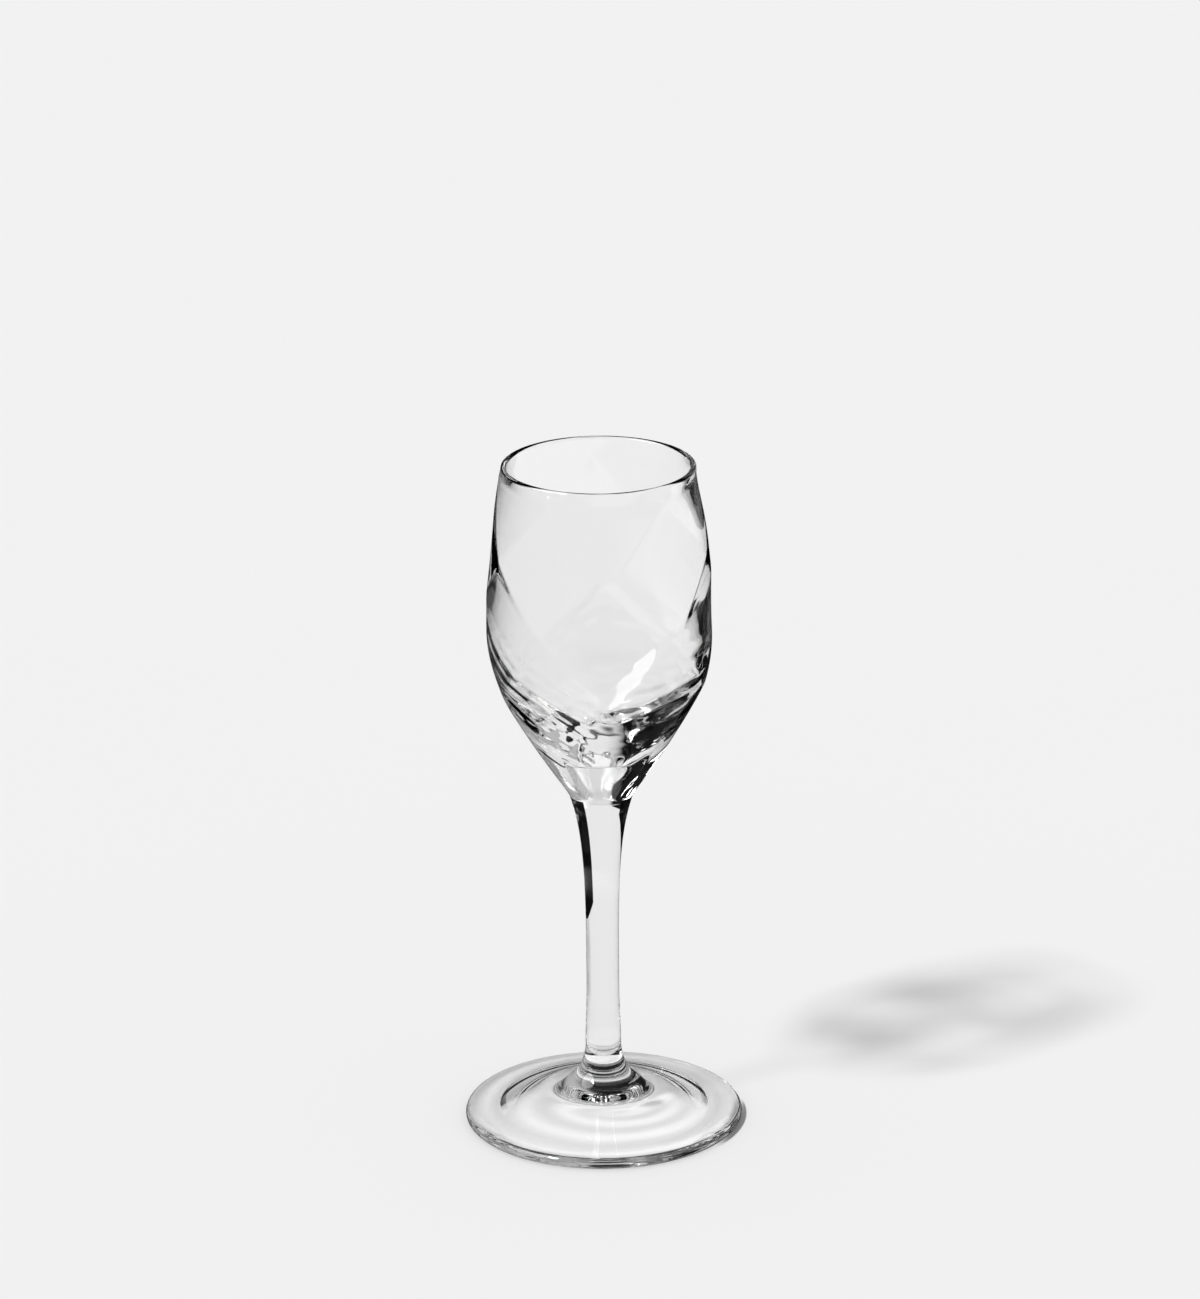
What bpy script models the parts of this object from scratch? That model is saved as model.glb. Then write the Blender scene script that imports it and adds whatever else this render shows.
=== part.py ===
"""A stemmed vodka glass: a blown bowl with a soft facet optic, a drawn stem and a spun foot.

Units are metres, +Z is up, and the origin is on the table under the middle of the foot.
The three pieces are separate gathers of glass. Each weld keeps a thin clearance between them.
"""

import math

import bmesh
import bpy
import numpy as np

# Heights, stacked from the table up
FOOT_HEIGHT = 0.0170  # table to the weld between foot and stem
STEM_LENGTH = 0.0555  # weld to weld
BOWL_HEIGHT = 0.0725  # weld between stem and bowl to the rim

# Bowl, turned body
RIM_RADIUS = 0.0201
BELLY_RADIUS = 0.0233
BELLY_HEIGHT = 0.0365  # above the bowl's weld
BOWL_WELD_RADIUS = 0.00655  # shared by the bowl's base and the stem's head
BOWL_WELD_BULGE = 0.0014  # how far the rounded base sinks into the head of the stem
RIM_WALL = 0.00125
BELLY_WALL = 0.0017
FLOOR_THICKNESS = 0.0113  # the bowl's weld to the inside bottom
FLOOR_RADIUS = 0.0043  # flat middle of the inside bottom

# Bowl, facet optic: rows of five soft facets, each row turned by half a facet from the next
FACETS_ROUND = 5
FACET_ROWS = 4
FACET_PHASE = math.radians(-85.0)  # bearing of a belly facet, from +X towards +Y
FACET_TOP_HEIGHT = 0.0545  # middle of the top row, above the bowl's weld
FACET_ROW_PITCH = 0.0140
FACET_DEPTH = 0.05  # from the middle of a facet to its edges, as a share of the radius
FACET_EDGE = 0.05  # softness of the edges, as a share of a facet
FACET_FADE_RIM = 0.0035  # length over which the facets run out below the rim
FACET_FADE_BASE = 0.0060  # length over which they run out above the weld

# Stem
STEM_WAIST_RADIUS = 0.00343
STEM_WAIST_HEIGHT = 0.0130  # above the foot's weld
FOOT_NECK_RADIUS = 0.00375  # shared by the stem's lower end and the neck of the foot
FOOT_WELD_BULGE = 0.0004  # crown of the neck under the stem

# Foot
FOOT_RADIUS = 0.0293
FOOT_EDGE_THICKNESS = 0.0024
FOOT_SPREAD_RADIUS = 0.0095  # where the flare of the neck runs into the disc
FOOT_SPREAD_HEIGHT = 0.0075
FOOT_REST_OUTER_MARGIN = 0.0014  # rim of the foot to the ring that it stands on
FOOT_REST_WIDTH = 0.0059
FOOT_HOLLOW = 0.0055  # rise of the underside in the middle

WELD_CLEARANCE = 0.0003  # between two welded pieces

# Shapes of the outlines, as shares of the span of each curve
RIM_PULL = 0.17
BELLY_PULL_UP = 0.63
BELLY_PULL_DOWN = 0.447
BOWL_WELD_PULL = 0.085
BOWL_WELD_LEAN = 0.20  # radius gained for each unit of height at the weld
HEAD_PULL = 0.22
WAIST_PULL_UP = 0.49
WAIST_PULL_DOWN = 0.45
NECK_PULL_UP = 0.30
FLOOR_PULL = 0.474
FLOOR_RISE = 0.254
INSIDE_PULL_DOWN = 0.45
FLARE_DROP_PULL = 0.60
FLARE_REACH_PULL = 0.45
FLARE_END_LEAN = 0.10
DISC_IN_PULL = 0.20
DISC_IN_FALL = 0.35
DISC_OUT_PULL = 0.34
DISC_OUT_RISE = 0.15

# Fineness of the meshes
ROUND_STEPS = 60  # a whole number of steps between two edges of the facet optic
STEM_STEPS = 32
WALL_STEPS = 12
CURVE_STEPS = 9
EDGE_STEPS = 6
WELD_STEPS = 4

FOOT_WELD_Z = FOOT_HEIGHT
BOWL_WELD_Z = FOOT_HEIGHT + STEM_LENGTH
RIM_Z = BOWL_WELD_Z + BOWL_HEIGHT
BELLY_Z = BOWL_WELD_Z + BELLY_HEIGHT
FLOOR_Z = BOWL_WELD_Z + FLOOR_THICKNESS


def bezier(start, start_pull, end_pull, end, steps):
    """Points (radius, height) along a cubic curve, both ends included."""
    t = np.linspace(0.0, 1.0, steps + 1)[:, None]
    corners = np.array([start, start_pull, end_pull, end])
    weights = np.hstack([(1 - t) ** 3, 3 * (1 - t) ** 2 * t, 3 * (1 - t) * t**2, t**3])
    return [tuple(point) for point in weights @ corners]


def arc(centre, radius, start_degrees, end_degrees, steps):
    """Points (radius, height) along an arc, both ends included."""
    points = []
    for angle in np.radians(np.linspace(start_degrees, end_degrees, steps + 1)):
        points.append((centre[0] + radius * math.cos(angle), centre[1] + radius * math.sin(angle)))
    return points


def bulge(radius, edge_z, rise, steps):
    """A shallow crown from its edge to the axis; a negative rise is a hanging one."""
    points = []
    for share in np.linspace(1.0, 0.0, steps + 1):
        points.append((radius * share, edge_z + rise * (1 - share**2)))
    return points


def bowl_outside(steps):
    """Outline of the bowl from just under the lip to the weld."""
    upper = RIM_Z - BELLY_Z
    lower = BELLY_Z - BOWL_WELD_Z
    weld_pull = lower * BOWL_WELD_PULL
    rim = (RIM_RADIUS, RIM_Z)
    belly = (BELLY_RADIUS, BELLY_Z)
    top = bezier(
        rim,
        (RIM_RADIUS, RIM_Z - upper * RIM_PULL),
        (BELLY_RADIUS, BELLY_Z + upper * BELLY_PULL_UP),
        belly,
        steps,
    )
    base = bezier(
        belly,
        (BELLY_RADIUS, BELLY_Z - lower * BELLY_PULL_DOWN),
        (BOWL_WELD_RADIUS + weld_pull * BOWL_WELD_LEAN, BOWL_WELD_Z + weld_pull),
        (BOWL_WELD_RADIUS, BOWL_WELD_Z),
        steps,
    )
    return top + base[1:]


def bowl_inside(steps):
    """Outline of the cavity from the flat middle of its floor up to the lip."""
    upper = RIM_Z - BELLY_Z
    lower = BELLY_Z - FLOOR_Z
    inner_rim = RIM_RADIUS - RIM_WALL
    inner_belly = BELLY_RADIUS - BELLY_WALL
    floor_reach = (inner_belly - FLOOR_RADIUS) * FLOOR_PULL
    base = bezier(
        (FLOOR_RADIUS, FLOOR_Z),
        (FLOOR_RADIUS + floor_reach, FLOOR_Z + lower * FLOOR_RISE),
        (inner_belly, BELLY_Z - lower * INSIDE_PULL_DOWN),
        (inner_belly, BELLY_Z),
        steps,
    )
    top = bezier(
        (inner_belly, BELLY_Z),
        (inner_belly, BELLY_Z + upper * BELLY_PULL_UP),
        (inner_rim, RIM_Z - upper * RIM_PULL),
        (inner_rim, RIM_Z),
        steps,
    )
    return base + top[1:]


def fade(distance, length):
    """Rises smoothly from 0 at the end of the facets to 1 past the fading length."""
    share = np.clip(distance / length, 0.0, 1.0)
    return share * share * (3 - 2 * share)


def facet_ratio(bearing, z):
    """Radius of the faceted wall over that of the plain turned one.

    Each facet is a hollow, deepest in its middle, and neighbours on the diamond grid meet in soft
    edges. The top row runs up to the rim as upright panels.
    """
    half_turn = math.pi / FACETS_ROUND
    hollows = []
    for row in range(FACET_ROWS):
        rise = (z - BOWL_WELD_Z - FACET_TOP_HEIGHT) / FACET_ROW_PITCH + row
        if row == 0:
            rise = np.minimum(rise, 0.0)
        away = bearing - FACET_PHASE - (row + 1) % 2 * half_turn
        away = ((away + half_turn) % (2 * half_turn) - half_turn) / half_turn
        for side in (-2, 0, 2):
            hollows.append((away + side) ** 2 + rise**2)
    hollows = np.array(hollows)
    least = hollows.min(axis=0)
    soft = least - FACET_EDGE * np.log(np.exp((least - hollows) / FACET_EDGE).sum(axis=0))
    # Middles of facets lie inside the turned body and edges outside it
    kept = fade(RIM_Z - z, FACET_FADE_RIM) * fade(z - BOWL_WELD_Z, FACET_FADE_BASE)
    return 1 + (soft - 1 / 3) * kept * FACET_DEPTH


def turned(name, outline, steps, start=0.0):
    """A closed body of revolution from an outline that runs from axis to axis."""
    mesh = bpy.data.meshes.new(name)
    shape = bmesh.new()
    chain = []
    for radius, z in outline:
        chain.append(shape.verts.new((radius * math.cos(start), radius * math.sin(start), z)))
    edges = [shape.edges.new(pair) for pair in zip(chain, chain[1:])]
    bmesh.ops.spin(
        shape,
        geom=chain + edges,
        axis=(0, 0, 1),
        cent=(0, 0, 0),
        angle=2 * math.pi,
        steps=steps,
        use_merge=True,
    )
    bmesh.ops.remove_doubles(shape, verts=shape.verts, dist=0.000001)
    bmesh.ops.recalc_face_normals(shape, faces=shape.faces)
    shape.to_mesh(mesh)
    shape.free()
    return mesh


def place(name, mesh, parent, material):
    """Adds the finished mesh as a named object, shaded smooth except at real corners."""
    piece = bpy.data.objects.new(name, mesh)
    bpy.context.scene.collection.objects.link(piece)
    piece.parent = parent
    mesh.materials.append(material)
    mesh.shade_smooth()
    mesh.set_sharp_from_angle(angle=math.radians(40))
    return piece


def clear_glass(name, colour, roughness):
    """Clear crystal: no metal, fully transmitting."""
    material = bpy.data.materials.new(name)
    material.use_nodes = True
    shader = material.node_tree.nodes["Principled BSDF"]
    shader.inputs["Base Color"].default_value = (*colour, 1.0)
    shader.inputs["Roughness"].default_value = roughness
    shader.inputs["Metallic"].default_value = 0.0
    shader.inputs["IOR"].default_value = 1.52
    shader.inputs["Transmission Weight"].default_value = 1.0
    return material


def bowl(parent):
    """The blown bowl: thin fire-polished lip, facet optic on both faces, thick base."""
    half_lip = RIM_WALL / 2
    lip = arc((RIM_RADIUS - half_lip, RIM_Z - half_lip), half_lip, 180, 0, EDGE_STEPS)
    inside = [(r, z) for r, z in bowl_inside(WALL_STEPS) if z < RIM_Z - half_lip]
    outside = [(r, z) for r, z in bowl_outside(WALL_STEPS) if z < RIM_Z - half_lip]
    weld = bulge(BOWL_WELD_RADIUS, BOWL_WELD_Z, -BOWL_WELD_BULGE, WELD_STEPS)
    outline = [(0.0, FLOOR_Z)] + inside + lip + outside + weld[1:]
    mesh = turned("bowl", outline, ROUND_STEPS, FACET_PHASE)
    places = np.array([vertex.co for vertex in mesh.vertices])
    places[:, :2] *= facet_ratio(np.arctan2(places[:, 1], places[:, 0]), places[:, 2])[:, None]
    mesh.vertices.foreach_set("co", places.ravel())
    mesh.update()
    return place("bowl", mesh, parent, clear_glass("blown_crystal", (0.95, 0.96, 0.96), 0.02))


def stem(parent):
    """The drawn stem: a dished head under the bowl, a waist, and a foot end on the neck."""
    head_z = BOWL_WELD_Z - WELD_CLEARANCE
    end_z = FOOT_WELD_Z + WELD_CLEARANCE
    waist_z = FOOT_WELD_Z + STEM_WAIST_HEIGHT
    waist = (STEM_WAIST_RADIUS, waist_z)
    upper = head_z - waist_z
    lower = waist_z - end_z
    head = bulge(BOWL_WELD_RADIUS, head_z, -BOWL_WELD_BULGE, WELD_STEPS)
    flare = bezier(
        (BOWL_WELD_RADIUS, head_z),
        (STEM_WAIST_RADIUS, head_z - upper * HEAD_PULL),
        (STEM_WAIST_RADIUS, waist_z + upper * WAIST_PULL_UP),
        waist,
        WALL_STEPS,
    )
    taper = bezier(
        waist,
        (STEM_WAIST_RADIUS, waist_z - lower * WAIST_PULL_DOWN),
        (FOOT_NECK_RADIUS, end_z + lower * NECK_PULL_UP),
        (FOOT_NECK_RADIUS, end_z),
        EDGE_STEPS,
    )
    end = bulge(FOOT_NECK_RADIUS, end_z, FOOT_WELD_BULGE, WELD_STEPS)
    outline = head[::-1] + flare[1:] + taper[1:] + end[1:]
    mesh = turned("stem", outline, STEM_STEPS)
    return place("stem", mesh, parent, clear_glass("drawn_crystal", (0.95, 0.96, 0.96), 0.02))


def foot(parent):
    """The spun foot: a neck that flares into a thin disc, hollowed so that it stands on a ring."""
    neck = (FOOT_NECK_RADIUS, FOOT_WELD_Z)
    spread = (FOOT_SPREAD_RADIUS, FOOT_SPREAD_HEIGHT)
    edge_radius = FOOT_EDGE_THICKNESS / 2
    edge_centre = (FOOT_RADIUS - edge_radius, edge_radius)
    rest_outer = FOOT_RADIUS - FOOT_REST_OUTER_MARGIN
    rest_inner = rest_outer - FOOT_REST_WIDTH
    drop = FOOT_WELD_Z - FOOT_SPREAD_HEIGHT
    reach = FOOT_SPREAD_RADIUS - FOOT_NECK_RADIUS
    span = edge_centre[0] - FOOT_SPREAD_RADIUS
    fall = FOOT_SPREAD_HEIGHT - FOOT_EDGE_THICKNESS
    crown = bulge(FOOT_NECK_RADIUS, FOOT_WELD_Z, FOOT_WELD_BULGE, WELD_STEPS)
    flare = bezier(
        neck,
        (FOOT_NECK_RADIUS, FOOT_WELD_Z - drop * FLARE_DROP_PULL),
        (FOOT_SPREAD_RADIUS - reach * FLARE_REACH_PULL, FOOT_SPREAD_HEIGHT + drop * FLARE_END_LEAN),
        spread,
        CURVE_STEPS,
    )
    disc = bezier(
        spread,
        (FOOT_SPREAD_RADIUS + span * DISC_IN_PULL, FOOT_SPREAD_HEIGHT - fall * DISC_IN_FALL),
        (edge_centre[0] - span * DISC_OUT_PULL, FOOT_EDGE_THICKNESS + fall * DISC_OUT_RISE),
        (edge_centre[0], FOOT_EDGE_THICKNESS),
        CURVE_STEPS,
    )
    edge = arc(edge_centre, edge_radius, 90, -70, EDGE_STEPS)
    rest = [(rest_outer, 0.0), (rest_inner, 0.0)]
    hollow = bulge(rest_inner, 0.0, FOOT_HOLLOW, CURVE_STEPS)
    outline = crown[::-1] + flare[1:] + disc[1:] + edge[1:] + rest + hollow[1:]
    mesh = turned("foot", outline, ROUND_STEPS)
    return place("foot", mesh, parent, clear_glass("spun_crystal", (0.95, 0.96, 0.96), 0.02))


def build():
    for old in list(bpy.data.objects):
        bpy.data.objects.remove(old)
    glass = bpy.data.objects.new("vodka_glass", None)
    bpy.context.scene.collection.objects.link(glass)
    bowl(glass)
    stem(glass)
    foot(glass)


build()
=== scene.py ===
import math

import bpy
import numpy as np
from mathutils import Matrix, Vector


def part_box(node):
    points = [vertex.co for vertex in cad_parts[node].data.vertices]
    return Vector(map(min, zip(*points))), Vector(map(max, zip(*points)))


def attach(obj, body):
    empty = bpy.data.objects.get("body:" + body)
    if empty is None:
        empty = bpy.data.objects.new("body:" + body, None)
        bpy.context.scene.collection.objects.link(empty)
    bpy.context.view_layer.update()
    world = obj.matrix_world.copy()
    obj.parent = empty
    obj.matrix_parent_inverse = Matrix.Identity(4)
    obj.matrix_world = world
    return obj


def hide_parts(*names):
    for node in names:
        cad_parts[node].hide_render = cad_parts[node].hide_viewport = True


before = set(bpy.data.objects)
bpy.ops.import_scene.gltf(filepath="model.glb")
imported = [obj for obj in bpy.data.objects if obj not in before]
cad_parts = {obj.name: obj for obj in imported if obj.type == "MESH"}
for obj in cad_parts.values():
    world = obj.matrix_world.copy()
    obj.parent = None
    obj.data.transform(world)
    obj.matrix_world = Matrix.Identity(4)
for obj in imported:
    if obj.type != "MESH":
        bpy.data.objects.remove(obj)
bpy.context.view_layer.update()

mm = 0.001
print("frame loaded:", ", ".join(sorted(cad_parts)))

# Where the pieces meet, read from the frame
stemLow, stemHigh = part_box("stem")
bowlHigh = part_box("bowl")[1]
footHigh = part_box("foot")[1]
weldGap = 0.3 * mm  # clearance between the CAD solids, which the finished glass closes
rimZ = bowlHigh.z
upperWeldZ = stemHigh.z + weldGap
lowerWeldZ = stemLow.z - weldGap
upperWeldRadius = stemHigh.x
footRadius = footHigh.x


def curve(start, startPull, endPull, end, steps):
    # points (radius, height) along a cubic curve, both ends included
    t = np.linspace(0.0, 1.0, steps + 1)[:, None]
    corners = np.array([start, startPull, endPull, end])
    weights = np.hstack([(1 - t) ** 3, 3 * (1 - t) ** 2 * t, 3 * (1 - t) * t**2, t**3])
    return weights @ corners


def arc(centre, radius, startAngle, endAngle, steps):
    turn = np.radians(np.linspace(startAngle, endAngle, steps + 1))
    return np.column_stack([centre[0] + radius * np.cos(turn), centre[1] + radius * np.sin(turn)])


def dome(radius, edgeZ, rise, steps):
    # a shallow crown from its edge to the axis; a negative rise hangs down
    share = np.linspace(1.0, 0.0, steps + 1)
    return np.column_stack([radius * share, edgeZ + rise * (1 - share**2)])


def chain(*parts):
    # joins outlines end to end and drops each repeated corner
    return np.vstack([parts[0]] + [part[1:] for part in parts[1:]])


def smoothStep(distance, length):
    share = np.clip(distance / length, 0.0, 1.0)
    return share * share * (3 - 2 * share)


sharpAngle = math.radians(50)  # edges sharper than this stay crisp


def turnedPiece(name, outline, steps, weldRows, reshape=None, startBearing=0.0):
    # spins an outline that runs from axis to axis, so the skin is closed; rows in weldRows get slot 1
    bearings = startBearing + np.arange(steps) * 2 * math.pi / steps
    rings = outline[1:-1]
    radius = np.repeat(rings[:, 0], steps)
    z = np.repeat(rings[:, 1], steps)
    bearing = np.tile(bearings, len(rings))
    if reshape is not None:
        radius, z = reshape(radius, z, bearing)
    points = np.column_stack([radius * np.cos(bearing), radius * np.sin(bearing), z])
    points = np.vstack([points, [0, 0, outline[0, 1]], [0, 0, outline[-1, 1]]])
    top, bottom = len(points) - 2, len(points) - 1
    here = np.arange(steps)
    after = (here + 1) % steps
    faces = [(top, a, b) for a, b in zip(here, after)]
    rows = [0] * steps
    for row in range(len(rings) - 1):
        a, b = here + row * steps, after + row * steps
        faces += list(zip(a, a + steps, b + steps, b))
        rows += [row + 1] * steps
    last = (len(rings) - 1) * steps
    faces += [(a + last, bottom, b + last) for a, b in zip(here, after)]
    rows += [len(rings)] * steps
    mesh = bpy.data.meshes.new(name)
    mesh.from_pydata(points.tolist(), [], [tuple(map(int, face)) for face in faces])
    mesh.shade_smooth()
    mesh.set_sharp_from_angle(angle=sharpAngle)
    slots = np.isin(np.array(rows), list(weldRows)).astype(np.int32)
    mesh.polygons.foreach_set("material_index", slots)
    piece = bpy.data.objects.new(name, mesh)
    bpy.context.scene.collection.objects.link(piece)
    print(f"{name}: {len(mesh.polygons)} faces")
    return piece


# Bowl: blown in a mould with a soft facet optic, so both faces of the wall carry the facets
bowlShape = {
    "rimRadius": 20.1 * mm,
    "bellyRadius": 23.3 * mm,
    "bellyAboveWeld": 36.5 * mm,
    "lipWall": 1.25 * mm,
    "bellyWall": 1.7 * mm,
    "floorThickness": 11.3 * mm,
    "floorRadius": 4.3 * mm,
    "weldBulge": 1.4 * mm,
    "rimPull": 0.17,  # pulls and leans shape the outlines, as shares of each curve's span
    "bellyPullUp": 0.63,
    "bellyPullDown": 0.447,
    "weldPull": 0.085,
    "weldLean": 0.20,
    "floorPull": 0.474,
    "floorRise": 0.254,
    "insidePull": 0.45,
    "roundSteps": 300,
    "outlineSteps": 200,
    "wallSteps": 60,
    "lipSteps": 12,
    "weldSteps": 8,
}
facetShape = {
    "countRound": 5,
    "phase": math.radians(-85.0),  # bearing of a belly facet, just right of the camera
    "rowPitch": 14.0 * mm,
    "topRow": 68.5 * mm,  # above the weld; every other row is turned by half a facet
    "rows": 5,
    "depth": 0.045,  # on the outside, as a share of the radius
    "insideDepth": 0.070,
    "wallBlend": 0.6 * mm,  # how far into the wall the inside's depth takes over
    "edge": 0.05,  # softness of the creases
    "level": 1 / 3,  # height in a facet at which the body keeps its radius
    "fadeRim": 3.5 * mm,
    "fadeBase": 6.0 * mm,
}
rippleShape = {
    "left": 0.11 * mm,  # unevenness that the blowing leaves on the inside of the thick base
    "right": 0.08 * mm,
    "leftFrom": 0.3,  # where the left side starts, as the cosine of the bearing
    "leftBlend": 0.6,
    "top": (101.0 * mm, 117.0 * mm),  # height over which it runs out
    "floorFade": 2.0 * mm,
    # waves round the glass, rise of one radian and start of each
    "leftWaves": ((9, 1.3 * mm, 0.0), (14, -0.9 * mm, 1.0), (23, 0.5 * mm, 2.0)),
    "rightWaves": ((3, 0.8 * mm, 0.0), (5, -0.55 * mm, 1.0), (11, 1.2 * mm, 2.0)),
}


def bowlOutside(steps):
    shape = bowlShape
    bellyZ = upperWeldZ + shape["bellyAboveWeld"]
    upper, lower = rimZ - bellyZ, bellyZ - upperWeldZ
    rim, belly = shape["rimRadius"], shape["bellyRadius"]
    pull = lower * shape["weldPull"]
    top = curve(
        (rim, rimZ),
        (rim, rimZ - upper * shape["rimPull"]),
        (belly, bellyZ + upper * shape["bellyPullUp"]),
        (belly, bellyZ),
        steps,
    )
    base = curve(
        (belly, bellyZ),
        (belly, bellyZ - lower * shape["bellyPullDown"]),
        (upperWeldRadius + pull * shape["weldLean"], upperWeldZ + pull),
        (upperWeldRadius, upperWeldZ),
        steps,
    )
    return chain(top, base)


def bowlInside(steps):
    shape = bowlShape
    bellyZ = upperWeldZ + shape["bellyAboveWeld"]
    floorZ = upperWeldZ + shape["floorThickness"]
    upper, lower = rimZ - bellyZ, bellyZ - floorZ
    rim = shape["rimRadius"] - shape["lipWall"]
    belly = shape["bellyRadius"] - shape["bellyWall"]
    flat = shape["floorRadius"]
    base = curve(
        (flat, floorZ),
        (flat + (belly - flat) * shape["floorPull"], floorZ + lower * shape["floorRise"]),
        (belly, bellyZ - lower * shape["insidePull"]),
        (belly, bellyZ),
        steps,
    )
    top = curve(
        (belly, bellyZ),
        (belly, bellyZ + upper * shape["bellyPullUp"]),
        (rim, rimZ - upper * shape["rimPull"]),
        (rim, rimZ),
        steps,
    )
    return chain(base, top)


bodyOutline = bowlOutside(bowlShape["outlineSteps"])[::-1]  # heights going up, to look radii up in


def bodyRadius(z):
    return np.interp(z, bodyOutline[:, 1], bodyOutline[:, 0])


def facetCut(bearing, z):
    # soft facets on a diamond grid: each is deepest in its middle, and neighbours meet in creases
    shape = facetShape
    halfTurn = math.pi / shape["countRound"]
    hollows = []
    for row in range(shape["rows"]):
        rise = (z - upperWeldZ - shape["topRow"]) / shape["rowPitch"] + row
        if row == 0:
            rise = np.minimum(rise, 0.0)  # the top row runs on to the rim
        away = bearing - shape["phase"] - row % 2 * halfTurn
        away = ((away + halfTurn) % (2 * halfTurn) - halfTurn) / halfTurn
        hollows += [(away + side) ** 2 + rise**2 for side in (-2, 0, 2)]
    hollows = np.array(hollows)
    least = hollows.min(axis=0)
    soft = least - shape["edge"] * np.log(np.exp((least - hollows) / shape["edge"]).sum(axis=0))
    kept = smoothStep(rimZ - z, shape["fadeRim"]) * smoothStep(z - upperWeldZ, shape["fadeBase"])
    return (soft - shape["level"]) * kept


def crossing(waves, bearing, z):
    return sum(np.sin(count * bearing + z / rise + start) for count, rise, start in waves) / len(waves)


def ripple(bearing, z):
    # crossing waves, finer and higher on the left
    shape = rippleShape
    fine = shape["left"] * crossing(shape["leftWaves"], bearing, z)
    long = shape["right"] * crossing(shape["rightWaves"], bearing, z)
    left = smoothStep(shape["leftFrom"] - np.cos(bearing), shape["leftBlend"])
    low, high = shape["top"]
    return (fine * left + long * (1 - left)) * smoothStep(high - z, high - low)


def facetedWall(radius, z, bearing):
    inside = smoothStep(bodyRadius(z) - radius, facetShape["wallBlend"])
    depth = facetShape["depth"] * (1 - inside) + facetShape["insideDepth"] * inside
    shaped = radius * np.where(z > upperWeldZ, 1 + facetCut(bearing, z) * depth, 1.0)
    floorZ = upperWeldZ + bowlShape["floorThickness"]
    uneven = inside * smoothStep(z - floorZ, rippleShape["floorFade"])
    return shaped + ripple(bearing, z) * uneven * (radius > bowlShape["floorRadius"]), z


def makeBowl():
    shape = bowlShape
    half = shape["lipWall"] / 2
    lip = arc((shape["rimRadius"] - half, rimZ - half), half, 180, 0, shape["lipSteps"])
    inside = bowlInside(shape["wallSteps"])
    outside = bowlOutside(shape["wallSteps"])
    inside = inside[inside[:, 1] < rimZ - half]
    outside = outside[outside[:, 1] < rimZ - half]
    weld = dome(upperWeldRadius, upperWeldZ, -shape["weldBulge"], shape["weldSteps"])
    floorZ = upperWeldZ + shape["floorThickness"]
    outline = np.vstack([[(0.0, floorZ)], inside, lip, outside, weld[1:]])
    weldRows = range(len(outline) - 1 - shape["weldSteps"], len(outline))
    return turnedPiece(
        "bowlGlass", outline, shape["roundSteps"], weldRows, facetedWall, facetShape["phase"]
    )


# Stem: a gather dropped on the bowl's base and drawn down
stemShape = {
    "waistRadius": 3.43 * mm,
    "waistAboveWeld": 13.0 * mm,
    "neckRadius": 3.75 * mm,
    "neckBulge": 0.4 * mm,
    "headPull": 0.22,
    "waistPullUp": 0.49,
    "waistPullDown": 0.45,
    "neckPullUp": 0.30,
    "roundSteps": 128,
    "sideSteps": 60,
}


def makeStem():
    shape = stemShape
    waistZ = lowerWeldZ + shape["waistAboveWeld"]
    waist, neck = shape["waistRadius"], shape["neckRadius"]
    upper, lower = upperWeldZ - waistZ, waistZ - lowerWeldZ
    weldSteps = bowlShape["weldSteps"]
    head = dome(upperWeldRadius, upperWeldZ, -bowlShape["weldBulge"], weldSteps)[::-1]
    flare = curve(
        (upperWeldRadius, upperWeldZ),
        (waist, upperWeldZ - upper * shape["headPull"]),
        (waist, waistZ + upper * shape["waistPullUp"]),
        (waist, waistZ),
        shape["sideSteps"],
    )
    taper = curve(
        (waist, waistZ),
        (waist, waistZ - lower * shape["waistPullDown"]),
        (neck, lowerWeldZ + lower * shape["neckPullUp"]),
        (neck, lowerWeldZ),
        shape["sideSteps"] // 3,
    )
    end = dome(neck, lowerWeldZ, shape["neckBulge"], weldSteps)
    outline = chain(head, flare, taper, end)
    rows = len(outline) - 1
    weldRows = list(range(weldSteps)) + list(range(rows - weldSteps, rows))
    return turnedPiece("stemGlass", outline, shape["roundSteps"], weldRows)


# Foot: a third gather, spun out to a thin disc on a short neck
footShape = {
    "edgeThickness": 2.4 * mm,
    "spreadRadius": 9.5 * mm,
    "spreadHeight": 7.5 * mm,
    "restMargin": 1.4 * mm,
    "restWidth": 5.9 * mm,
    "hollow": 5.5 * mm,
    "flareDrop": 0.60,
    "flareReach": 0.45,
    "flareLean": 0.10,
    "discIn": 0.20,
    "discInFall": 0.35,
    "discOut": 0.34,
    "discOutRise": 0.15,
    "roundSteps": 240,
    "curveSteps": 40,
    "edgeEnd": -70.0,  # where the round of the edge turns under, degrees
    "edgeSteps": 14,
}


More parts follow.
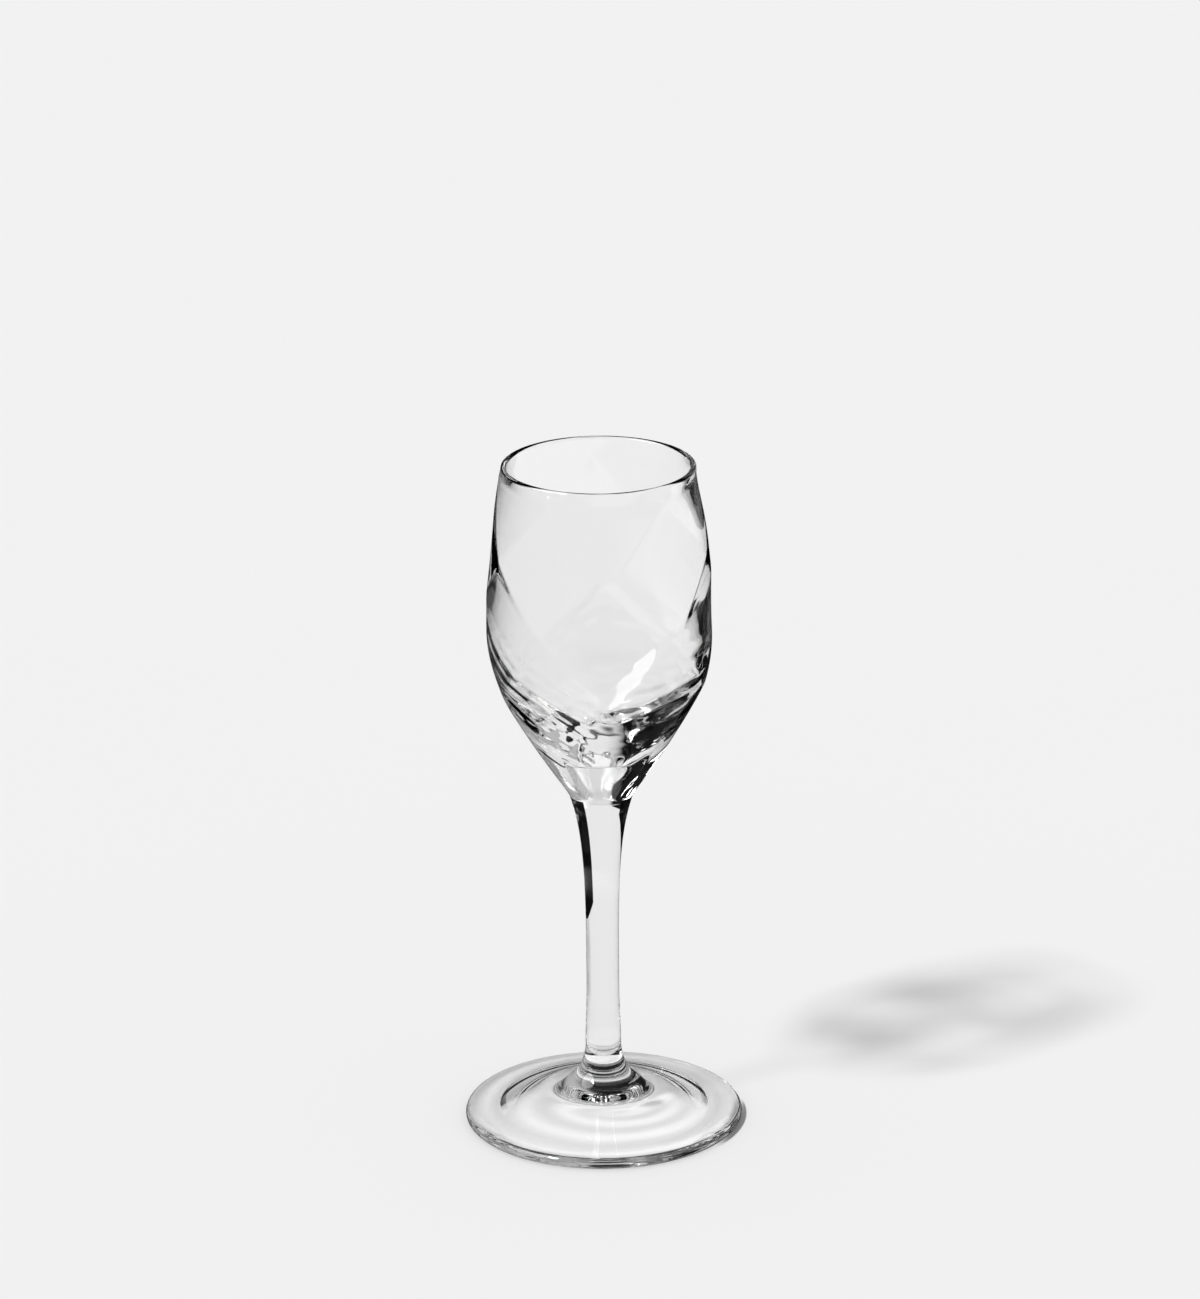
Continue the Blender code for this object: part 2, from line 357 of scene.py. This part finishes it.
def makeFoot():
    shape = footShape
    neck, spread, spreadZ = stemShape["neckRadius"], shape["spreadRadius"], shape["spreadHeight"]
    thick = shape["edgeThickness"]
    edgeX = footRadius - thick / 2
    restOuter = footRadius - shape["restMargin"]
    restInner = restOuter - shape["restWidth"]
    drop, reach = lowerWeldZ - spreadZ, spread - neck
    span, fall = edgeX - spread, spreadZ - thick
    weldSteps = bowlShape["weldSteps"]
    crown = dome(neck, lowerWeldZ, stemShape["neckBulge"], weldSteps)[::-1]
    flare = curve(
        (neck, lowerWeldZ),
        (neck, lowerWeldZ - drop * shape["flareDrop"]),
        (spread - reach * shape["flareReach"], spreadZ + drop * shape["flareLean"]),
        (spread, spreadZ),
        shape["curveSteps"],
    )
    disc = curve(
        (spread, spreadZ),
        (spread + span * shape["discIn"], spreadZ - fall * shape["discInFall"]),
        (edgeX - span * shape["discOut"], thick + fall * shape["discOutRise"]),
        (edgeX, thick),
        shape["curveSteps"],
    )
    edge = arc((edgeX, thick / 2), thick / 2, 90, shape["edgeEnd"], shape["edgeSteps"])
    rest = np.array([edge[-1], (restOuter, 0.0), (restInner, 0.0)])
    hollow = dome(restInner, 0.0, shape["hollow"], shape["curveSteps"])
    outline = chain(crown, flare, disc, edge, rest, hollow)
    return turnedPiece("footGlass", outline, shape["roundSteps"], range(weldSteps))


bowlGlass = makeBowl()
stemGlass = makeStem()
footGlass = makeFoot()


def hexColour(code):
    # sRGB hex to the linear values that shaders take
    parts = [int(code[i:i + 2], 16) / 255 for i in (1, 3, 5)]
    return [c / 12.92 if c <= 0.04045 else ((c + 0.055) / 1.055) ** 2.4 for c in parts] + [1.0]


def addNode(tree, kind, sockets=(), **settings):
    # sockets: values or links, by input name or in order; a node stands for its first output
    node = tree.nodes.new("ShaderNode" + kind)
    for key, value in settings.items():
        setattr(node, key, value)
    for key, value in sockets.items() if isinstance(sockets, dict) else enumerate(sockets):
        value = value.outputs[0] if isinstance(value, bpy.types.Node) else value
        if isinstance(value, bpy.types.NodeSocket):
            tree.links.new(value, node.inputs[key])
        else:
            node.inputs[key].default_value = value
    return node


smooth = {"interpolation_type": "SMOOTHSTEP"}  # settings that several nodes share
product = {"operation": "MULTIPLY"}
total = {"operation": "ADD"}
larger = {"operation": "MAXIMUM"}
difference = {"operation": "SUBTRACT"}
below = {"operation": "LESS_THAN"}
above = {"operation": "GREATER_THAN"}


def newMaterial(name):
    material = bpy.data.materials.new(name)
    material.use_nodes = True
    material.node_tree.nodes.clear()
    return material, material.node_tree


crystalLook = {
    "tint": "#ffffff",
    "ior": 1.52,
    "roughness": 0.0,
    "waveHeight": 0.01 * mm,  # of the waves, cords and rings that the making leaves
}


def crystal(name, finish):
    # lead-free crystal: clear as water, with sharp reflections; finish gives the fine waves that its
    # making leaves, and the share of a lamp's light that gets through one face of it to the floor
    material, tree = newMaterial(name)
    wave, passed = finish(tree, addNode(tree, "TexCoord").outputs["Object"])
    bump = addNode(tree, "Bump", {"Height": wave, "Distance": crystalLook["waveHeight"]})
    glass = addNode(
        tree,
        "BsdfPrincipled",
        {
            "Base Color": hexColour(crystalLook["tint"]),
            "Roughness": crystalLook["roughness"],
            "IOR": crystalLook["ior"],
            "Transmission Weight": 1.0,
            "Normal": bump,
        },
    )
    through = addNode(tree, "BsdfTransparent", {"Color": passed})
    lampLight = addNode(tree, "LightPath").outputs["Is Shadow Ray"]
    mixed = addNode(tree, "MixShader", (lampLight, glass, through))
    addNode(tree, "OutputMaterial", {"Surface": mixed})
    return material


blownFinish = {
    "waveLength": 7.14 * mm,
    "cloudSize": 16.67 * mm,
    "cloudEdge": (0.38, 0.62),
    "cloud": (0.74, 1.06),  # light passed by the thick and the thin places of the wall
    "edgeFrom": 0.3,
    "edgeOn": 0.92,  # and where the lamp's light meets it edge on
}


def blown(tree, place):
    # blown in a mould and fire-polished: broad, barely visible waves; the uneven wall throws a
    # clouded shadow
    look = blownFinish
    wave = addNode(tree, "TexNoise", {"Vector": place, "Scale": 1 / look["waveLength"], "Detail": 1.0})
    cloud = addNode(tree, "TexNoise", {"Vector": place, "Scale": 1 / look["cloudSize"], "Detail": 2.0})
    facing = addNode(tree, "LayerWeight", {"Blend": 0.5}).outputs["Facing"]
    clouds = addNode(
        tree, "MapRange", (cloud.outputs["Fac"], *look["cloudEdge"], *look["cloud"]), **smooth
    )
    edges = addNode(tree, "MapRange", (facing, look["edgeFrom"], 1.0, 1.0, look["edgeOn"]), **smooth)
    return wave.outputs["Fac"], addNode(tree, "Math", (clouds, edges), **product)


drawnFinish = {
    "cordWidth": 2.0 * mm,  # coarser than real cords, which are too fine to show
    "cordStretch": 0.05,
    "edgeFrom": 0.2,
    "faceOn": 0.97,  # light passed, straight on and edge on
    "edgeOn": 0.90,
}


def drawn(tree, place):
    # drawn down from a gather: faint cords that run along the stem
    look = drawnFinish
    long = addNode(tree, "Mapping", {"Vector": place, "Scale": (1.0, 1.0, look["cordStretch"])})
    cord = addNode(tree, "TexNoise", {"Vector": long, "Scale": 1 / look["cordWidth"], "Detail": 1.0})
    facing = addNode(tree, "LayerWeight", {"Blend": 0.5}).outputs["Facing"]
    passed = addNode(
        tree, "MapRange", (facing, look["edgeFrom"], 1.0, look["faceOn"], look["edgeOn"]), **smooth
    )
    return cord.outputs["Fac"], passed


spunFinish = {
    "ringSpacing": 7.48 * mm,
    "ringWobble": 2.5,
    "wobbleScale": 0.6,
    "disc": (1.19, 1.33),  # light passed; over 1, for what a render loses under glass
    "rimFrom": (26.0 * mm, 28.3 * mm),
    "rimLight": 0.83,
    "rimSide": (0.98, -0.20, 0.0),  # the side of the rim that throws a crescent
    "rim": 0.2,
}


def spun(tree, place):
    # spun out while soft: faint rings about the axis; the disc gathers light under it and the rim
    # throws a thin dark crescent
    look = spunFinish
    rings = addNode(
        tree,
        "TexWave",
        {
            "Vector": place,
            "Scale": math.pi / 10 / look["ringSpacing"],  # at scale 1 the rings are pi / 10 apart
            "Distortion": look["ringWobble"],
            "Detail": 1.0,
            "Detail Scale": look["wobbleScale"],
        },
        wave_type="RINGS",
        rings_direction="Z",
    ).outputs["Fac"]
    out = addNode(tree, "VectorMath", (place,), operation="LENGTH").outputs["Value"]
    along = addNode(tree, "VectorMath", (place, look["rimSide"]), operation="DOT_PRODUCT")
    gathered = addNode(tree, "MapRange", (rings, 0.0, 1.0, *look["disc"]), **smooth)
    rim = addNode(tree, "MapRange", (out, *look["rimFrom"], 1.0, look["rimLight"]), **smooth)
    shade = addNode(
        tree, "MapRange", (along.outputs["Value"], *look["rimFrom"], 1.0, look["rim"]), **smooth
    )
    edge = addNode(tree, "Math", (rim, shade), **product)
    return rings, addNode(tree, "Math", (gathered, edge), **product)


def weldedCore():
    # inside a weld the glass is one: light goes straight through
    material, tree = newMaterial("weldedCore")
    addNode(tree, "OutputMaterial", {"Surface": addNode(tree, "BsdfTransparent")})
    return material


core = weldedCore()
for piece, node, slot, finish in (
    (bowlGlass, "bowl", "blown_crystal", blown),
    (stemGlass, "stem", "drawn_crystal", drawn),
    (footGlass, "foot", "spun_crystal", spun),
):
    piece.data.materials.append(crystal(slot, finish))
    piece.data.materials.append(core)
    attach(piece, "root")
    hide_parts(node)
print("crystal set on bowl, stem and foot")


# Stage: a wide pale floor, upright black cards beside the glass, flat dark strips of painted shade
# lying on the floor behind it, a key lamp, and a dark room with a window, a soft box and a lit wall
def sheet(name, corners, material):
    mesh = bpy.data.meshes.new(name)
    mesh.from_pydata(corners, [], [(0, 1, 2, 3)])
    mesh.materials.append(material)
    piece = bpy.data.objects.new(name, mesh)
    bpy.context.scene.collection.objects.link(piece)
    return piece


bothWalls = 3.5  # light that crossed more faces than this went through both walls of the bowl


def thickView(tree):
    # 1 for light bent or turned back inside the glass, 0 for the camera and for light that crossed both
    # walls of the bowl, so the edges of the glass go dark and the bowl stays clear from every side
    path = addNode(tree, "LightPath")
    few = addNode(tree, "Math", (path.outputs["Transmission Depth"], bothWalls), **below)
    return addNode(tree, "Math", (few, path.outputs["Is Camera Ray"]), **difference)


def outsideView(tree):
    # 1 for light that the outside of the glass reflects
    path = addNode(tree, "LightPath")
    outside = addNode(tree, "Math", (path.outputs["Transmission Depth"], 0.5), **below)
    return addNode(tree, "Math", (outside, path.outputs["Is Singular Ray"]), **product)


floorLook = {
    "reach": 8.0,
    "drop": 0.03 * mm,  # a hair of air under the foot
    "colour": "#f4f4f4",
    "mottle": 0.006,
    "mottleSize": 111.0 * mm,
    "black": "#101010",
    "fadeLeft": (0.0, -0.12),  # where its lit part ends, in light turned back inside the glass, m
    "fadeFront": (-0.30, -0.50),
    "turnedShade": (0.0075, 0.0090, 0.060, 0.085),  # such light is in shade if its last way is so long
    "lowExit": (0.008, 0.014),  # or longer, where it left the glass this near the floor
    "lowReach": (0.16, 0.24),
    "ownShade": (0.65, 1.00),  # the shade round the foot, in outside reflections
}


def makeFloor():
    # matt card: pale and faintly mottled; as the glass sees it, it carries painted shade: black to the
    # left and in front, where it would be unlit, and round the foot, where the glass itself would shade
    # it
    look = floorLook
    material, tree = newMaterial("mattCard")
    place = addNode(tree, "TexCoord").outputs["Object"]
    axes = addNode(tree, "SeparateXYZ", (place,))
    away = addNode(tree, "VectorMath", (place,), operation="LENGTH").outputs["Value"]
    mottle = addNode(tree, "TexNoise", {"Vector": place, "Scale": 1 / look["mottleSize"]})
    pale = hexColour(look["colour"])
    dull = [c * (1 - look["mottle"]) for c in pale[:3]] + [1.0]
    paint = addNode(tree, "Mix", {"Factor": mottle.outputs["Fac"], 6: pale, 7: dull}, data_type="RGBA")
    left = addNode(tree, "MapRange", (axes.outputs["X"], *look["fadeLeft"], 1.0, 0.0), **smooth)
    front = addNode(tree, "MapRange", (axes.outputs["Y"], *look["fadeFront"], 1.0, 0.0), **smooth)
    lit = addNode(tree, "Math", (left, front), **product)
    unlit = addNode(tree, "Math", (1.0, lit), **difference)
    path = addNode(tree, "LightPath")
    way = path.outputs["Ray Length"]
    start, full, fading, gone = look["turnedShade"]
    near = addNode(tree, "MapRange", (way, start, full, 0.0, 1.0), **smooth)
    short = addNode(tree, "MapRange", (way, fading, gone, 1.0, 0.0), **smooth)
    slope = addNode(tree, "Math", (way, away), **difference)
    low = addNode(tree, "MapRange", (slope, *look["lowExit"], 1.0, 0.0), **smooth)
    reach = addNode(tree, "MapRange", (away, *look["lowReach"], 1.0, 0.0), **smooth)
    under = addNode(tree, "Math", (low, reach), **product)
    under = addNode(tree, "Math", (short, under), **larger)
    under = addNode(tree, "Math", (near, under), **product)
    turned = addNode(tree, "Math", (path.outputs["Glossy Depth"], 0.5), **above)
    turnedBack = addNode(tree, "Math", (turned, thickView(tree)), **product)
    dark = addNode(tree, "Math", (unlit, under), **larger)
    dark = addNode(tree, "Math", (dark, turnedBack), **product)
    close = addNode(tree, "MapRange", (away, *look["ownShade"], 1.0, 0.0), **smooth)
    shaded = addNode(tree, "Math", (close, outsideView(tree)), **product)
    dark = addNode(tree, "Math", (dark, shaded), **larger)
    # painted shade: the black the floor turns where the glass sees it unlit or shaded
    black = hexColour(look["black"])
    colour = addNode(tree, "Mix", {"Factor": dark, 6: paint.outputs[2], 7: black}, data_type="RGBA")
    card = addNode(tree, "BsdfDiffuse", {"Color": colour.outputs[2]})
    addNode(tree, "OutputMaterial", {"Surface": card})
    r, z = look["reach"], -look["drop"]
    sheet("floor", [(-r, -r, z), (r, -r, z), (r, r, z), (-r, r, z)], material)


cardLook = {
    "colour": "#101010",
    "upright": (  # lower corner at either end, and the upper edge, mm
        ("flagRight", (57.0, 7.6, 24.0), (23.6, 56.2, 27.0), 86.0),
        ("flagLeft", (-57.0, 7.6, 36.0), (-26.0, 52.0, 66.0), 86.0),
    ),
    "uprightTurns": (0, 0),
    # dark strips lying on the floor behind the glass: painted shade, the shaded floor as the glass sees
    # it
    "flat": (  # near and far end, half width, height, mm; bearing from straight back; turns
        ("shadeStripWide", 150.0, 900.0, 110.0, 0.2, 31.0, (1, 1)),
        ("shadeStripNarrow", 215.0, 600.0, 70.0, 1.0, 31.0, (2, 20)),
    ),
}


def blackCardAndShadeStrip(turns):
    # matt black card, seen only by light that was turned back inside the glass so many times; laid flat
    # on the floor it is painted shade
    material, tree = newMaterial("mattBlackCardAndShadeStrip")
    paint = addNode(tree, "BsdfDiffuse", {"Color": hexColour(cardLook["colour"])})
    clear = addNode(tree, "BsdfTransparent")
    turned = addNode(tree, "LightPath").outputs["Glossy Depth"]
    least, most = turns
    enough = addNode(tree, "Math", (turned, least - 0.5), **above)
    few = addNode(tree, "Math", (turned, most + 0.5), **below)
    shown = addNode(tree, "Math", (enough, few), **product)
    shown = addNode(tree, "Math", (shown, thickView(tree)), **product)
    addNode(tree, "OutputMaterial", {"Surface": addNode(tree, "MixShader", (shown, clear, paint))})
    return material


def setDarkSheet(name, corners, turns):
    card = sheet(name, [tuple(v * mm for v in corner) for corner in corners], blackCardAndShadeStrip(turns))
    card.visible_camera = card.visible_shadow = card.visible_diffuse = False


def makeCards():
    # out of the camera's sight: the upright black cards draw the streaks down the stem; the flat ones
    # behind the glass are painted shade lying on the floor, and draw the dark patches on its right edge
    for name, (x0, y0, low0), (x1, y1, low1), top in cardLook["upright"]:
        corners = [(x0, y0, low0), (x1, y1, low1), (x1, y1, top), (x0, y0, top)]
        setDarkSheet(name, corners, cardLook["uprightTurns"])
    for name, near, far, half, z, bearing, turns in cardLook["flat"]:
        c, s = math.cos(math.radians(bearing)), math.sin(math.radians(bearing))
        ends = ((near, half), (far, half), (far, -half), (near, -half))
        setDarkSheet(name, [(r * s + w * c, r * c - w * s, z) for r, w in ends], turns)


lightLook = {
    "keyFrom": (-71.0, -49.0, 110.0),  # a direction, as boxFrom is
    "keyStrength": 2.58,
    "keyAngle": 6.0,
    "softLevel": 0.42,  # the soft light on the floor
    "backdrop": "#f1f1f1",
    "roomLevel": 0.012,  # the room, and all below, as the glass sees it
    "windowLevel": 0.92,  # a window behind the glass
    "windowEdge": (0.55, 0.75),  # edges are parts of a direction of length 1
    "windowLeft": (-0.28, -0.16),
    "windowTurned": 0.012,  # its share in light turned back inside the glass
    "boxFrom": (-150.0, -35.0, 150.0),  # a soft box at the left, which the glass mirrors
    "boxEdge": (0.93, 0.955),
    "boxLevel": 7.0,
    "wallEdge": (0.2, 0.5),  # a lit wall at the right, seen only through the glass
    "wallLevel": 0.6,
}


def makeLight():
    look = lightLook
    scene = bpy.context.scene
    lamp = bpy.data.lights.new("key", "SUN")
    lamp.energy = look["keyStrength"]
    lamp.angle = math.radians(look["keyAngle"])
    key = bpy.data.objects.new("key", lamp)
    key.rotation_euler = Vector(look["keyFrom"]).to_track_quat("Z", "Y").to_euler()
    scene.collection.objects.link(key)
    scene.world = bpy.data.worlds.new("studio")
    scene.world.use_nodes = True
    tree = scene.world.node_tree
    tree.nodes.clear()
    place = addNode(tree, "TexCoord").outputs["Generated"]
    axes = addNode(tree, "SeparateXYZ", (place,))
    path = addNode(tree, "LightPath")
    turned, crossed = path.outputs["Glossy Depth"], path.outputs["Transmission Depth"]
    back = addNode(
        tree, "MapRange", (axes.outputs["Y"], *look["windowEdge"], 0.0, look["windowLevel"]), **smooth
    )
    side = addNode(tree, "MapRange", (axes.outputs["X"], *look["windowLeft"], 0.0, 1.0), **smooth)
    straight = addNode(tree, "MapRange", (turned, 0.4, 0.6, 1.0, look["windowTurned"]), **smooth)
    window = addNode(tree, "Math", (back, side), **product)
    window = addNode(tree, "Math", (window, straight), **product)
    boxFrom = Vector(look["boxFrom"]).normalized()
    facing = addNode(tree, "VectorMath", (place, boxFrom), operation="DOT_PRODUCT").outputs["Value"]
    box = addNode(tree, "MapRange", (facing, *look["boxEdge"], 0.0, look["boxLevel"]), **smooth)
    wall = addNode(
        tree, "MapRange", (axes.outputs["X"], *look["wallEdge"], 0.0, look["wallLevel"]), **smooth
    )
    through = addNode(tree, "MapRange", (crossed, 0.4, 0.6, 0.0, 1.0), **smooth)
    wall = addNode(tree, "Math", (wall, through), **product)
    level = addNode(tree, "Math", (look["roomLevel"], window), **total)
    level = addNode(tree, "Math", (level, box), **total)
    level = addNode(tree, "Math", (level, wall), **total)
    room = addNode(tree, "Background", {"Strength": level})
    soft = addNode(tree, "Background", {"Strength": look["softLevel"]})
    backdrop = addNode(tree, "Background", {"Color": hexColour(look["backdrop"])})
    seen = addNode(tree, "MixShader", (path.outputs["Is Singular Ray"], soft, room))
    mixed = addNode(tree, "MixShader", (path.outputs["Is Camera Ray"], seen, backdrop))
    addNode(tree, "OutputWorld", {"Surface": mixed})


makeFloor()
makeCards()
makeLight()
print("stage set: floor, black cards, key lamp and room")

# Camera at the photograph's angle
cameraView = {
    "back": 1230.0 * mm,
    "height": 538.7 * mm,
    "pitch": math.radians(19.433),
    "roll": math.radians(-0.495),
    "focalPixels": 6299.0,  # of the camera fitted to the photograph
    "frameHeight": 1299.0,
    "sensor": 36.0,
}


def makeCamera():
    view = cameraView
    forward = Vector((0.0, math.cos(view["pitch"]), -math.sin(view["pitch"])))
    right = Vector((1.0, 0.0, 0.0))
    up = right.cross(forward)
    c, s = math.cos(view["roll"]), math.sin(view["roll"])
    x, y = c * right + s * up, c * up - s * right
    camera = bpy.data.objects.new("camera", bpy.data.cameras.new("camera"))
    bpy.context.scene.collection.objects.link(camera)
    turn = Matrix((x, y, -forward)).transposed().to_4x4()
    camera.matrix_world = Matrix.Translation((0.0, -view["back"], view["height"])) @ turn
    camera.data.sensor_width = view["sensor"]
    camera.data.lens = view["focalPixels"] / view["frameHeight"] * view["sensor"]
    bpy.context.scene.camera = camera


makeCamera()
print("camera set at the photograph's angle")

scene = bpy.context.scene
scene.view_settings.view_transform = "Standard"
scene.cycles.max_bounces = 32  # light turns back many times in the thick base
scene.cycles.transmission_bounces = 32
scene.cycles.transparent_max_bounces = 32
scene.cycles.glossy_bounces = 16
scene.cycles.caustics_reflective = scene.cycles.caustics_refractive = False
